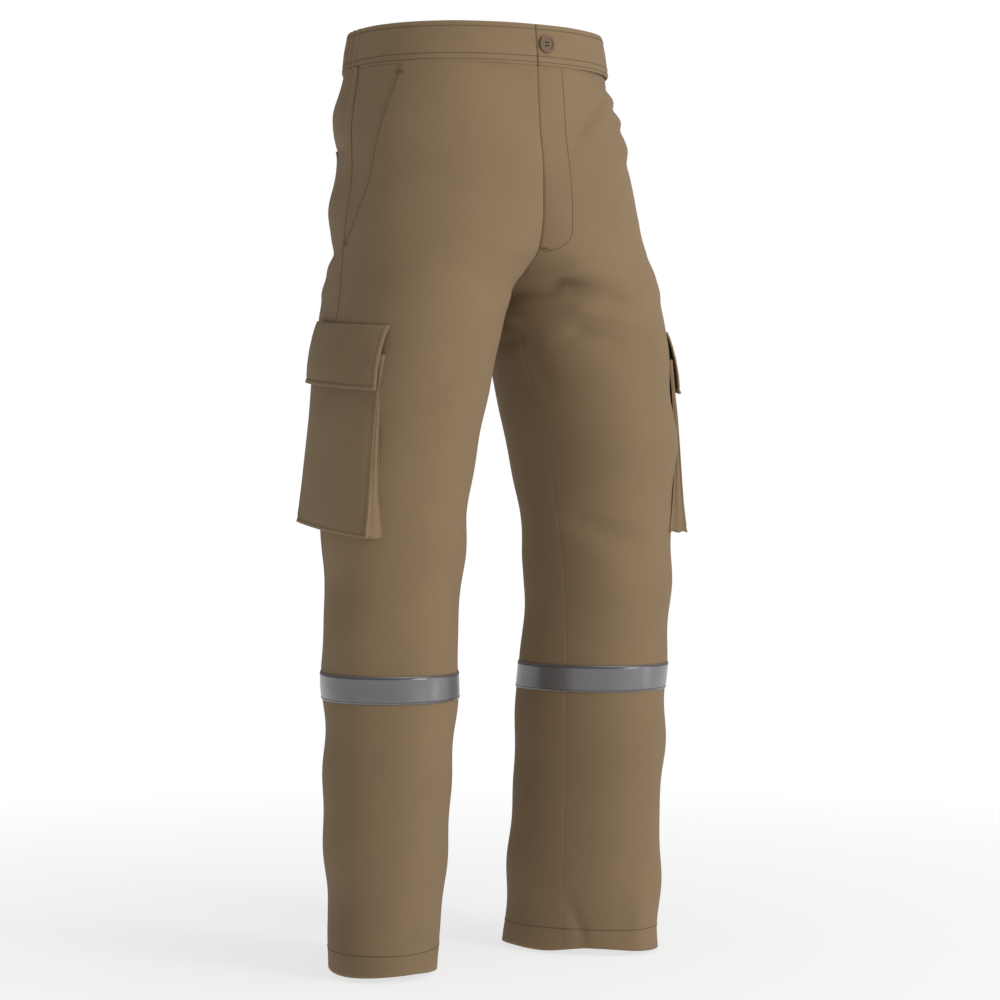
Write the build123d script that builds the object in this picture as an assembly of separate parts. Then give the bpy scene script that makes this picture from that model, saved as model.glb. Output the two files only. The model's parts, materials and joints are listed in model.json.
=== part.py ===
from build123d import *
import math
import os

# Fire-service work trousers, in millimetres. +Z is up and the wearer faces -Y, so the wearer's left is +X.
# The origin is on the floor, under the middle of the garment's outline.
# One leg is made, the left, and the right leg is its mirror image in the plane x = 0.

# ---- Driving dimensions -------------------------------------------------------------------------------------
OUTSEAM = 1050.0          # floor to the waistband's top edge
BAND_HEIGHT = 45.0        # waistband
CLOTH = 1.0               # one ply of outer cloth
LINING = 0.5              # one ply of facing, pocketing or tape
GAP = 0.5                 # clearance between neighbouring pieces
PLY = CLOTH + GAP         # depth taken by one ply and the clearance behind it
HEM_HEIGHT = 30.0
REFLECTIVE_LOW = 302.0    # lower edge of the reflective band
REFLECTIVE_HEIGHT = 30.0
BUTTON_DIAMETER = 20.0
WAIST_SEAM = OUTSEAM - BAND_HEIGHT
PANEL_TOP = WAIST_SEAM - GAP / 2
CENTRE_EDGE = GAP / 2     # how far a centre-seam edge stays from the plane x = 0
MIDDLE_Y = 6.5            # brings the middle of the outline over the origin

# ---- The body of the garment: horizontal sections of one leg --------------------------------------------------
# Each leg is a tube of rounded sections. Above the crotch the tube reaches past the plane x = 0 and is cut there,
# so the same sections make the seat and the waist.
# height, centre x, centre y, half width, front half depth, back half depth, toe-out angle in degrees
STATIONS = [
    (0, 132, -16, 60, 94, 94, 35),         # hem
    (150, 134, -25, 69, 88, 88, 35),       # shin
    (300, 135, -35, 74, 87, 87, 33),       # reflective band
    (450, 137, -45, 77, 85, 85, 25),       # knee
    (600, 125, -46, 84, 102, 105, 17),     # thigh
    (700, 110, -43, 94, 106, 114, 12),
    (750, 98, -38, 96, 112, 126, 10),      # crotch: above this the tube reaches past x = 0
    (775, 87, -35, 103, 115, 133, 9),
    (800, 69, -32, 116, 118, 139, 8),
    (840, 53, -27, 125, 122, 147, 6),
    (880, 43, -20, 129, 125, 150, 5),      # seat
    (940, 24, -8, 142, 126, 143, 3),       # hip
    (1005, 5, 0, 147, 128, 132, 1),        # waist seam
    (1050, 0, 2, 146, 125, 124, 0),        # waist
]
LEVELS = [0, 75, 150, 225, 300, 375, 430, 465, 500, 550, 600, 650, 700, 725, 750, 775,
          800, 818, 840, 880, 940, 1005, 1050]
SECTION_POWER = 2.2       # 2 is an ellipse, more is squarer
POCKET_CORNER_POWER = 4.2  # the outer back corner of the thigh is squared out by the pocket sewn onto it
POCKET_CORNER = (430, 480, 720, 790)   # the corner grows in, stays and fades between these heights
SECTION_STEP = 12.0       # degrees between the points of a section curve
INSEAM, FULL_TURN = 180.0, 360.0
SEAM_MARGIN = 0.2         # degrees left free on each side of a long seam


def station(column, z):
    """One section value at height z: a cubic Hermite curve through the stations."""
    heights = [row[0] for row in STATIONS]
    last = len(heights) - 1
    k = max(i for i in range(last) if heights[i] <= z or i == 0)

    def slope(i):
        low, high = max(i - 1, 0), min(i + 1, last)
        return (STATIONS[high][column] - STATIONS[low][column]) / (heights[high] - heights[low])

    step = heights[k + 1] - heights[k]
    t = (z - heights[k]) / step
    return (
        (2 * t**3 - 3 * t**2 + 1) * STATIONS[k][column]
        + (t**3 - 2 * t**2 + t) * step * slope(k)
        + (3 * t**2 - 2 * t**3) * STATIONS[k + 1][column]
        + (t**3 - t**2) * step * slope(k + 1)
    )


def ease(share):
    share = min(max(share, 0), 1)
    return share * share * (3 - 2 * share)


def corner_power(z):
    """Squareness of the section's outer back corner at height z."""
    start, full, leave, end = POCKET_CORNER
    weight = ease((z - start) / (full - start)) * ease((end - z) / (end - leave))
    return SECTION_POWER + (POCKET_CORNER_POWER - SECTION_POWER) * weight


def level_point(z, angle, out):
    """A point of the left leg at one of the levels. Angle 0 is the side seam, 90 the front, 180 the inseam."""
    cx, cy, half_width, front, back, toe = (station(c, z) for c in range(1, 7))
    turn, toe = math.radians(angle), math.radians(toe)
    depth = front if math.sin(turn) > 0 else back
    outer_back = math.sin(turn) < 0 < math.cos(turn)
    p = corner_power(z) if outer_back else SECTION_POWER
    reach = (abs(math.cos(turn) / half_width) ** p + abs(math.sin(turn) / depth) ** p) ** (-1 / p) + out
    across, along = reach * math.cos(turn), reach * math.sin(turn)
    x = cx + across * math.cos(toe) + along * math.sin(toe)
    y = cy + across * math.sin(toe) - along * math.cos(toe)
    return Vector(x, y + MIDDLE_Y, z)


def skin(z, angle, out=0.0):
    """A point of the left leg's surface, pushed outwards by out. Between two levels the surface is ruled."""
    low = max(h for h in LEVELS if h <= z)
    high = min(h for h in LEVELS if h >= z)
    if low == high:
        return level_point(z, angle, out)
    share = (z - low) / (high - low)
    return level_point(low, angle, out) * (1 - share) + level_point(high, angle, out) * share


def solve(function, low, high):
    """The value between low and high where a steadily changing function passes through zero."""
    rising = function(high) > function(low)
    for _ in range(24):
        middle = (low + high) / 2
        if (function(middle) > 0) == rising:
            high = middle
        else:
            low = middle
    return (low + high) / 2


def centre_front(z, out):
    """Angle of the front panel's inner edge: the centre seam above the crotch, the inseam below it."""
    edge = INSEAM - SEAM_MARGIN
    if skin(z, edge, out).X > CENTRE_EDGE:
        return edge
    return solve(lambda angle: skin(z, angle, out).X - CENTRE_EDGE, 60, edge)


def centre_back(z, out):
    """Angle of the back panel's inner edge: the centre seam above the crotch, the inseam below it."""
    edge = INSEAM + SEAM_MARGIN
    if skin(z, edge, out).X > CENTRE_EDGE:
        return edge
    return solve(lambda angle: skin(z, angle, out).X - CENTRE_EDGE, 190, 300)


def front_y(x, z, out=0.0):
    """y of the front surface at x and height z."""
    return skin(z, solve(lambda angle: skin(z, angle, out).X - x, 60, 179), out).Y


def side_x(y, z, out=0.0):
    """x of the leg's outer side at y and height z."""
    return skin(z, solve(lambda angle: skin(z, angle, out).Y - y, -85, 85), out).X


# ---- Building blocks ------------------------------------------------------------------------------------------
def levels(low, high):
    near = 4.0
    return [low] + [h for h in LEVELS if low + near < h < high - near] + [high]


def at(value, z, out):
    """An angle given as a number, or as a function of the height and the offset."""
    return value(z, out) if callable(value) else value


def curve(z, start, end, out, steps):
    first, last = at(start, z, out), at(end, z, out)
    return [skin(z, first + (last - first) * i / steps, out) for i in range(steps + 1)]


def closed_face(*rows):
    """A face bounded by smooth curves through the rows of points, joined end to end by straight lines."""
    edges = []
    for i, row in enumerate(rows):
        edges.append(Spline(row))
        edges.append(Line(row[-1], rows[(i + 1) % len(rows)][0]))
    return make_face(Wire(edges))


def section_steps(heights, start, end):
    widest = max(at(end, z, 0) - at(start, z, 0) for z in heights)
    return max(3, math.ceil(widest / SECTION_STEP))


def strip(low, high, start, end, inner, outer):
    """A curved ply that follows the garment, between two angles and two offsets from the surface."""
    heights = levels(low, high)
    steps = section_steps(heights, start, end)
    faces = [
        closed_face(curve(z, start, end, outer, steps), curve(z, start, end, inner, steps)[::-1])
        for z in heights
    ]
    return loft(faces, ruled=True)


def folded_strip(low, high, start, end, inner, outer, wall):
    """Two plies with their end edge joined, like a bag seen from above."""
    heights = levels(low, high)
    steps = section_steps(heights, start, end)
    faces = [
        closed_face(
            curve(z, start, end, outer, steps),
            curve(z, start, end, inner, steps)[::-1],
            curve(z, start, end - 1, inner + wall, steps),
            curve(z, start, end - 1, outer - wall, steps)[::-1],
        )
        for z in heights
    ]
    return loft(faces, ruled=True)


def back_half(z, out, steps):
    """Points from the side seam round the back to the middle of the back."""
    middle = solve(lambda angle: skin(z, angle, out).X, 200, 300)
    points = curve(z, FULL_TURN - SEAM_MARGIN, middle, out, steps)
    return points[:-1] + [Vector(0, points[-1].Y, z)]


def across_back(low, high, inner, outer):
    """A ply that runs round the back from side seam to side seam."""
    def row(z, out):
        half = back_half(z, out, steps=9)
        return half + [Vector(-p.X, p.Y, p.Z) for p in half[-2::-1]]

    return loft([closed_face(row(z, outer), row(z, inner)[::-1]) for z in (low, high)], ruled=True)


def prism(points, near, far):
    """A solid with an (x, z) outline, running along Y from near to far."""
    outline = [Vector(x, near, z) for x, z in points]
    return extrude(make_face(Polyline(*outline, close=True)), far - near, dir=(0, 1, 0))


def mirrored(shape):
    return mirror(shape, about=Plane.YZ)


parts = {}


def keep(name, *shapes):
    """Files a sub-part under its name: one solid, or a group of separate solids."""
    solids = [solid for shape in shapes for solid in shape.solids()]
    parts[name] = solids[0] if len(solids) == 1 else Compound(children=solids)


def keep_pair(name, shape):
    keep(name + "_left", shape)
    keep(name + "_right", mirrored(shape))


# ---- Trouser legs ---------------------------------------------------------------------------------------------
MOUTH_TOP_ANGLE = 27.0    # degrees from the side seam, where the hand pocket's mouth meets the waistband
MOUTH_LOW = 800.0         # height where the mouth meets the side seam
FACING_UNDER = 12.0       # degrees that the hip facing runs on under the front panel


def mouth_edge(z, out=0.0):
    """Angle of the hand pocket's curved mouth. Below the mouth it is the side seam."""
    if z <= MOUTH_LOW:
        return SEAM_MARGIN
    return MOUTH_TOP_ANGLE * math.sqrt((z - MOUTH_LOW) / (WAIST_SEAM - MOUTH_LOW))


def front_panel():
    return strip(0, PANEL_TOP, mouth_edge, centre_front, -CLOTH, 0)


def back_panel():
    return strip(0, PANEL_TOP, centre_back, FULL_TURN - SEAM_MARGIN, -CLOTH, 0)


def hip_facing():
    """The piece seen inside the hand pocket's mouth, one ply behind the front panel."""
    def under_edge(z, out):
        return mouth_edge(z) + FACING_UNDER

    return strip(MOUTH_LOW + 1, PANEL_TOP, SEAM_MARGIN, under_edge, -PLY - CLOTH, -PLY)


BAG_LOW, BAG_HIGH = 765.0, 990.0
BAG_SPAN = (5.0, 50.0)    # degrees round the hip, from the side seam forwards
BAG_DEPTH = (-3 * PLY - 2.5, -3 * PLY + 1)     # offsets of its inner and outer ply


def hand_pocket_bag():
    """Two plies of pocketing that hang behind the hip facing, with their front edges joined."""
    return folded_strip(BAG_LOW, BAG_HIGH, *BAG_SPAN, *BAG_DEPTH, LINING)


def hem_facing():
    return strip(0, HEM_HEIGHT, SEAM_MARGIN, FULL_TURN - SEAM_MARGIN, -PLY - CLOTH, -PLY)


def reflective_band():
    high = REFLECTIVE_LOW + REFLECTIVE_HEIGHT
    return strip(REFLECTIVE_LOW, high, 0.5, FULL_TURN - 0.5, GAP, GAP + LINING)


def build_legs():
    keep_pair("front_panel", front_panel())
    keep_pair("back_panel", back_panel())
    keep_pair("hip_facing", hip_facing())
    keep_pair("hand_pocket_bag", hand_pocket_bag())
    keep_pair("hem_facing", hem_facing())
    keep_pair("reflective_band", reflective_band())


# ---- Cargo pocket ---------------------------------------------------------------------------------------------
# Places on the pocket are (u, v): u runs from the front edge to the back edge and v is the height at u = 0.
POCKET_Y = -41.0 + MIDDLE_Y
POCKET_HALF = 75.0        # half its width
POCKET_LOW, POCKET_HIGH = 490.0, 686.0
SLOPE_LOW, SLOPE_HIGH = 0.10, 0.07       # its level lines rise towards the back, by this much per mm
EDGE_X_LOW, EDGE_X_HIGH = 213.0, 193.0   # outside of the face's side edges, at the bottom and at the top
MIDDLE_X_LOW, MIDDLE_X_HIGH = 225.5, 212.5
FLAP_HIGH, FLAP_LOW = 717.0, 647.0
FLAP_HALF = POCKET_HALF + 2.5
FLAP_PLIES = 1.6
FLAP_STAND_OFF = 4.5      # space between the flap's lower edge and the pocket's face
SEWN_CLEARANCE = 1.0      # space between a curved patch's sewn edge and the leg
HOOK_TAPE_WIDTH, HOOK_TAPE_HEIGHT, HOOK_TAPE_PLY = 50.0, 20.0, 1.0


def along_pocket(low, high, v):
    """A value that changes evenly from the pocket's bottom to its top."""
    return low + (high - low) * (v - POCKET_LOW) / (POCKET_HIGH - POCKET_LOW)


def pocket_place(u, v):
    """(y, z) of a place on the pocket."""
    return POCKET_Y + u, v + along_pocket(SLOPE_LOW, SLOPE_HIGH, v) * u


def face_x(u, v):
    """x of the outside of the pocket's face, which bulges between its side edges."""
    middle = along_pocket(MIDDLE_X_LOW, MIDDLE_X_HIGH, v)
    edge = along_pocket(EDGE_X_LOW, EDGE_X_HIGH, v)
    return middle - (middle - edge) * (u / POCKET_HALF) ** 2


def leg_x(u, v):
    return side_x(*pocket_place(u, v))


def flap_inner_x(u, v):
    """x of the flap's inside: on the leg at the top, and standing off the pocket's face at the bottom."""
    drop = (FLAP_HIGH - v) / (FLAP_HIGH - FLAP_LOW)
    sewn = leg_x(u, FLAP_HIGH) + SEWN_CLEARANCE
    free = face_x(u, FLAP_LOW) + FLAP_STAND_OFF
    return sewn + (free - sewn) * math.sin(drop * math.pi / 2) ** 0.8


def side_patch(half, heights, inner, outer):
    """A curved sheet on the side of the leg. inner and outer give x at (u, v); heights run from bottom to top."""
    columns = 16
    faces = []
    for i in range(columns + 1):
        u = half * (2 * i / columns - 1)
        outside = [Vector(outer(u, v), *pocket_place(u, v)) for v in heights]
        inside = [Vector(inner(u, v), *pocket_place(u, v)) for v in heights]
        faces.append(make_face(Polyline(*outside, *inside[::-1], close=True)))
    return loft(faces, ruled=True)


def shifted(function, distance):
    return lambda u, v: function(u, v) + distance


def pocket_face():
    return side_patch(POCKET_HALF, [POCKET_LOW, POCKET_HIGH], shifted(face_x, -CLOTH), face_x)


GUSSET_CORNER_RADIUS = 8.0


def gusset_section(u, v, normal):
    """Cross-section of the gusset where it passes (u, v): a thin ply from the leg to the face."""
    turn = math.radians(normal)
    inside_place = (u - CLOTH * math.cos(turn), v - CLOTH * math.sin(turn))
    rows = []
    for place in ((u, v), inside_place):
        y, z = pocket_place(*place)
        rows.append([Vector(x, y, z) for x in (face_x(*place) - PLY, leg_x(*place) + SEWN_CLEARANCE)])
    return make_face(Polyline(*rows[0], *rows[1][::-1], close=True))


def gusset():
    """The bellows strip round the front, bottom and back of the pocket, folded round two rounded corners."""
    radius = GUSSET_CORNER_RADIUS
    path = []
    for share in (0, 0.25, 0.5, 0.75):
        path.append((-POCKET_HALF, POCKET_HIGH + (POCKET_LOW - POCKET_HIGH) * share, 180))
    for normal in (180, 210, 240, 270):
        turn = math.radians(normal)
        path.append((radius * (1 + math.cos(turn)) - POCKET_HALF, radius * (1 + math.sin(turn)) + POCKET_LOW, normal))
    for share in (0.75, 0.56, 0.37, 0.18):
        path.append((-POCKET_HALF * share, POCKET_LOW, 270))
    returning = [(-u, v, 540 - normal) for u, v, normal in path[::-1]]
    middle = [(0, POCKET_LOW, 270)]
    return loft([gusset_section(*place) for place in path + middle + returning], ruled=True)


def cargo_flap():
    height = FLAP_HIGH - FLAP_LOW
    rows = [FLAP_LOW + height * share for share in (0, 0.3, 0.55, 0.75, 0.9, 1)]
    return side_patch(FLAP_HALF, rows, flap_inner_x, shifted(flap_inner_x, FLAP_PLIES))


def tape_heights():
    low = FLAP_LOW + 4
    return [low, low + HOOK_TAPE_HEIGHT / 2, low + HOOK_TAPE_HEIGHT]


def flap_hook_tape():
    outer = shifted(flap_inner_x, -GAP)
    return side_patch(HOOK_TAPE_WIDTH / 2, tape_heights(), shifted(outer, -HOOK_TAPE_PLY), outer)


def pocket_loop_tape():
    inner = shifted(face_x, GAP)
    return side_patch(HOOK_TAPE_WIDTH / 2, tape_heights(), inner, shifted(inner, HOOK_TAPE_PLY))


def build_cargo_pockets():
    keep_pair("cargo_pocket_face", pocket_face())
    keep_pair("cargo_gusset", gusset())
    keep_pair("cargo_flap", cargo_flap())
    keep_pair("flap_hook_tape", flap_hook_tape())
    keep_pair("pocket_loop_tape", pocket_loop_tape())


# ---- Seat pocket ----------------------------------------------------------------------------------------------
SEAT_POCKET_X = (32.0, 132.0)
SEAT_POCKET_Z = (765.0, 915.0)
SEAT_FLAP_X = (30.0, 134.0)
SEAT_FLAP_Z = (866.0, 920.0)
SEAT_POINT = 12.0         # the middle of the lower edge hangs this much below its corners
SEAT_SPAN = (235.0, 325.0)      # degrees round the back that hold both patches


def seat_patch(x_range, z_range, inner, outer):
    """A patch that lies on the seat between two offsets, with a pointed lower edge."""
    left, right = x_range
    low, high = z_range
    middle = (left + right) / 2
    outline = [(left, high), (right, high), (right, low + SEAT_POINT), (middle, low), (left, low + SEAT_POINT)]
    return strip(low - 1, high + 1, *SEAT_SPAN, inner, outer) & prism(outline, 0, 300)


def build_seat_pockets():
    pocket_outer = GAP + CLOTH
    keep_pair("seat_pocket", seat_patch(SEAT_POCKET_X, SEAT_POCKET_Z, GAP, pocket_outer))
    flap_inner = pocket_outer + SEWN_CLEARANCE
    keep_pair("seat_flap", seat_patch(SEAT_FLAP_X, SEAT_FLAP_Z, flap_inner, flap_inner + FLAP_PLIES))


# ---- Waistband ------------------------------------------------------------------------------------------------
BAND_LOW, BAND_HIGH = WAIST_SEAM + GAP / 2, OUTSEAM
OUTER_PLY = (0.6, 0.6 + CLOTH)                 # inner and outer offset of each layer, from the outside in
INTERLINING_PLY = (-0.5, 0.1)
FACING_PLY = (-2.0, -1.0)
ELASTIC_PLY = (-1.8, 0.1)
BACK_FACING_PLY = (-3.3, -2.3)
UNDERLAP_PLY = (-4.4, -2.5)
LAP_WIDTH = 32.0
BUTTON_X = 11.0
BUTTON_Z = (BAND_LOW + BAND_HIGH) / 2
SLIT_LENGTH, SLIT_WIDTH = 22.0, 4.4


def buttonhole():
    """The slit through the lapping end of the band, as a tool to cut with."""
    y = front_y(BUTTON_X, BUTTON_Z)
    return Pos(BUTTON_X + 2, y, BUTTON_Z) * Box(SLIT_LENGTH, 16, SLIT_WIDTH)


LABEL_LOW = 962.0
LABEL_SPAN = (250.0, 262.0)     # degrees round the back
LABEL_PLY = (-3.0, -2.5)


def label():
    """Blank care label that hangs inside the back of the band."""
    return strip(LABEL_LOW, PANEL_TOP - 1, *LABEL_SPAN, *LABEL_PLY)


def lap_angle(x):
    """Angle of a vertical edge at x on the front, as a function for strip."""
    return lambda z, out: solve(lambda angle: skin(z, angle, out).X - x, 40, 179)


def underlap():
    """The end of the band that carries the button, behind the lapping end."""
    return strip(BAND_LOW, BAND_HIGH, lap_angle(LAP_WIDTH), lap_angle(CENTRE_EDGE), *UNDERLAP_PLY)


def build_waistband():
    layers = {"waistband_outer": OUTER_PLY, "waistband_interlining": INTERLINING_PLY, "waistband_facing": FACING_PLY}
    for name, (inner, outer) in layers.items():
        half = strip(BAND_LOW, BAND_HIGH, SEAM_MARGIN, centre_front, inner, outer)
        keep(name + "_left", half - buttonhole())
        keep(name + "_right", mirrored(half))
    keep("waistband_outer_back", across_back(BAND_LOW, BAND_HIGH, *OUTER_PLY))
    keep("waistband_elastic", across_back(BAND_LOW + 3, BAND_HIGH - 3, *ELASTIC_PLY))
    keep("waistband_facing_back", across_back(BAND_LOW, BAND_HIGH, *BACK_FACING_PLY))
    keep("waistband_underlap", underlap())
    keep("care_label", label())


# ---- Button ---------------------------------------------------------------------------------------------------
BUTTON_THICKNESS = 3.2
HOLE_OFFSET, HOLE_RADIUS = 1.9, 0.9
SHANK_RADIUS = 1.6
SHANK_LENGTH = 5.6
THREAD_RADIUS = 0.5
BUTTON_CLEARANCE = 2.0    # from the band to the button's back


def corners_of_square(half):
    return [(x, y) for x in (-half, half) for y in (-half, half)]


def button():
    """Sew-through button with a rim, a sunk middle and four holes, drawn with its back at z = 0."""
    radius = BUTTON_DIAMETER / 2
    profile = [
        (0, 0), (radius - 1, 0), (radius, 1.2), (radius, 2.4), (radius - 1, BUTTON_THICKNESS),
        (radius - 2.6, BUTTON_THICKNESS), (radius - 3.8, 2.2), (0, 2.0),
    ]
    disc = revolve(make_face(Polyline(*[(x, 0, z) for x, z in profile], close=True)), Axis.Z)
    for x, y in corners_of_square(HOLE_OFFSET):
        disc -= Pos(x, y, 0) * Cylinder(HOLE_RADIUS, 20)
    return disc


def button_thread():
    """A wound shank behind the button, two bars across its face and the legs that join them."""
    head_radius = HOLE_OFFSET * math.sqrt(2) + THREAD_RADIUS + 0.15
    thread = Pos(0, 0, -SHANK_LENGTH / 2) * Cylinder(SHANK_RADIUS, SHANK_LENGTH)
    thread += Pos(0, 0, -0.7) * Cylinder(head_radius, 0.8)
    for x, y in corners_of_square(HOLE_OFFSET):
        thread += Pos(x, y, 1.0) * Cylinder(THREAD_RADIUS, 3.4)
    for y in (-HOLE_OFFSET, HOLE_OFFSET):
        thread += Pos(0, y, 2.9) * Box(2 * HOLE_OFFSET, 1.6 * THREAD_RADIUS, 0.8)
    return thread


def build_button():
    y = front_y(BUTTON_X, BUTTON_Z, OUTER_PLY[1]) - BUTTON_CLEARANCE
    place = Pos(BUTTON_X, y, BUTTON_Z) * Rot(90, 0, 0)
    keep("waist_button", place * button())
    keep("button_thread", place * button_thread())


# ---- Fly and zip ----------------------------------------------------------------------------------------------
FLY_WIDTH = 32.0
FLY_EDGE = 1.0            # the plies start this far from the centre seam
FLY_CORNER_RADIUS = 26.0
FLY_BOTTOM = 797.0
FLY_FACING_PLY = (-2.8, -2.0)
SHIELD_PLY = (-23.0, -22.0)
ZIP_X = 14.0              # the zip lies behind the lapping edge, which hides it
ZIP_LOW, ZIP_HIGH = 832.0, 996.0
ZIP_DEPTH = 12.0          # from the front surface to the middle of the chain
TOOTH_PITCH = 2.0
TOOTH_WIDTH, TOOTH_THICKNESS, TOOTH_HEIGHT = 3.0, 2.4, 1.2
TAPE_WIDTH = 12.0
SLIDER_WIDTH, SLIDER_DEPTH, SLIDER_LENGTH = 9.0, 6.4, 14.0
SLIDER_TOP_GAP = 12.0     # from the zip's top to the closed slider's middle
LOOP_HEIGHT = 2.0         # the pull's bar sits this far above the slider's middle
BAR_RADIUS = 0.68


def zip_y(z):
    """y of the middle of the chain. The zip is straight from its lower end to its upper end."""
    low_y = front_y(ZIP_X, ZIP_LOW) + ZIP_DEPTH
    high_y = front_y(ZIP_X, ZIP_HIGH) + ZIP_DEPTH
    return low_y + (high_y - low_y) * (z - ZIP_LOW) / (ZIP_HIGH - ZIP_LOW)


def zip_lean():
    return math.degrees(math.atan2(zip_y(ZIP_HIGH) - zip_y(ZIP_LOW), ZIP_HIGH - ZIP_LOW))


def on_zip(shape, z, across=0.0):
    """Places a shape drawn at the origin onto the zip at height z."""
    return Pos(ZIP_X + across, zip_y(z), z) * Rot(-zip_lean(), 0, 0) * shape


def zip_teeth(side):
    """One side's teeth, a group of separate blocks. side is 1 towards the wearer's left, -1 towards the right."""
    first = ZIP_LOW + 8 + (TOOTH_PITCH if side > 0 else 0)
    count = int((ZIP_HIGH - ZIP_LOW - 14) / (2 * TOOTH_PITCH))
    tooth = Box(TOOTH_WIDTH, TOOTH_THICKNESS, TOOTH_HEIGHT)
    return [on_zip(tooth, first + 2 * TOOTH_PITCH * i, side * TOOTH_WIDTH / 4) for i in range(count)]


def zip_tape(side):
    inner_edge = TOOTH_WIDTH * 3 / 4 + GAP / 2
    tape = Box(TAPE_WIDTH, LINING, ZIP_HIGH - ZIP_LOW)
    return on_zip(tape, (ZIP_LOW + ZIP_HIGH) / 2, side * (inner_edge + TAPE_WIDTH / 2))


def zip_stops():
    """A box that joins the two sides at the bottom, and a small clip at the top of each side."""
    box = on_zip(Box(4.0, 3.0, 4.0), ZIP_LOW + 3)
    clips = [on_zip(Box(1.6, 2.6, 2.0), ZIP_HIGH - 1.5, across) for across in (-1.2, 1.2)]
    return [box] + clips


def zip_slider():
    """Two wings with the chain's channel and the tapes' slots between them, and a loop for the pull."""
    channel_depth = TOOTH_THICKNESS + 2 * GAP
    body = Box(SLIDER_WIDTH, SLIDER_DEPTH, SLIDER_LENGTH)
    body = fillet(body.edges().filter_by(Axis.Y), 1.5)
    body -= Box(SLIDER_WIDTH - 3.0, channel_depth, SLIDER_LENGTH + 2)
    body -= Box(SLIDER_WIDTH + 2, LINING + 2 * GAP, SLIDER_LENGTH + 2)
    bridge = Pos(0, 0, SLIDER_LENGTH / 2 - 1.0) * Box(0.9, channel_depth + 1, 2.0)
    loop = Pos(0, -SLIDER_DEPTH / 2 - 0.9, LOOP_HEIGHT) * Box(2.0, 2.0, 5.0)
    hole = Pos(0, -SLIDER_DEPTH / 2 - 0.8, LOOP_HEIGHT) * Rot(0, 90, 0) * Cylinder(BAR_RADIUS + 0.07, 4)
    return body + bridge + loop - hole


def zip_pull():
    """Pull tab: a round bar through the slider's loop, two arms, and a flat tab with a hole."""
    y = -SLIDER_DEPTH / 2 - 0.8
    pull = Pos(0, y, LOOP_HEIGHT) * Rot(0, 90, 0) * Cylinder(BAR_RADIUS, 5.0)
    for x in (-2.0, 2.0):
        pull += Pos(x, y, LOOP_HEIGHT - 3.2) * Box(1.0, 0.9, 6.4)
    tab = Pos(0, y, LOOP_HEIGHT - 12.4) * Box(5.6, 0.9, 13.0)
    tab = fillet(tab.edges().filter_by(Axis.Y), 1.4)
    tab -= Pos(0, y, LOOP_HEIGHT - 15.5) * Rot(90, 0, 0) * Cylinder(1.3, 3)
    return pull + tab


def fly_ply(inner, outer):
    """A ply behind the fly. Its lower outside corner is rounded, like the J-shaped stitching that holds it."""
    radius = FLY_CORNER_RADIUS
    left, right = FLY_EDGE, FLY_EDGE + FLY_WIDTH
    outline = [(left, PANEL_TOP), (right, PANEL_TOP)]
    for turn in range(0, 91, 15):
        angle = math.radians(turn)
        outline.append((right - radius * (1 - math.cos(angle)), FLY_BOTTOM + radius * (1 - math.sin(angle))))
    outline.append((left, FLY_BOTTOM))
    ply = strip(FLY_BOTTOM - 12, PANEL_TOP, 60, centre_front, inner, outer)
    return ply & prism(outline, -300, 0)


def build_fly():
    keep("fly_facing", fly_ply(*FLY_FACING_PLY))
    keep("fly_shield", fly_ply(*SHIELD_PLY))
    keep("zip_tape_left", zip_tape(1))
    keep("zip_tape_right", zip_tape(-1))
    keep("zip_teeth_left", *zip_teeth(1))
    keep("zip_teeth_right", *zip_teeth(-1))
    keep("zip_stops", *zip_stops())
    closed = ZIP_HIGH - SLIDER_TOP_GAP
    keep("zip_slider", on_zip(zip_slider(), closed))
    keep("zip_pull", on_zip(zip_pull(), closed))


# ---- Bar tacks ------------------------------------------------------------------------------------------------
TACK_HEIGHT, TACK_PLY = 2.0, 0.6


def tack(z, angle, width):
    """A dense line of stitches across a seam's end, width degrees wide."""
    return strip(z, z + TACK_HEIGHT, angle - width / 2, angle + width / 2, GAP / 2, GAP / 2 + TACK_PLY)


def build_bar_tacks():
    mouth_top = WAIST_SEAM - 12
    tacks = [tack(mouth_top, mouth_edge(mouth_top) + 1, 4), tack(MOUTH_LOW + 4, mouth_edge(MOUTH_LOW + 4), 4)]
    both_sides = tacks + [mirrored(one) for one in tacks]
    fly_low = FLY_BOTTOM + 2
    fly = tack(fly_low, lap_angle(6)(fly_low, 0), 4)
    keep("bar_tacks", *both_sides, fly)


if __name__ == "__main__":
    os.makedirs("parts", exist_ok=True)
    build_legs()
    build_cargo_pockets()
    build_seat_pockets()
    build_waistband()
    build_button()
    build_fly()
    build_bar_tacks()
    for name, shape in parts.items():
        export_step(shape, f"parts/{name}.step")
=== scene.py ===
import json
import math

import bpy
import numpy as np
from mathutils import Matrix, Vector
from mathutils.bvhtree import BVHTree

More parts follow.
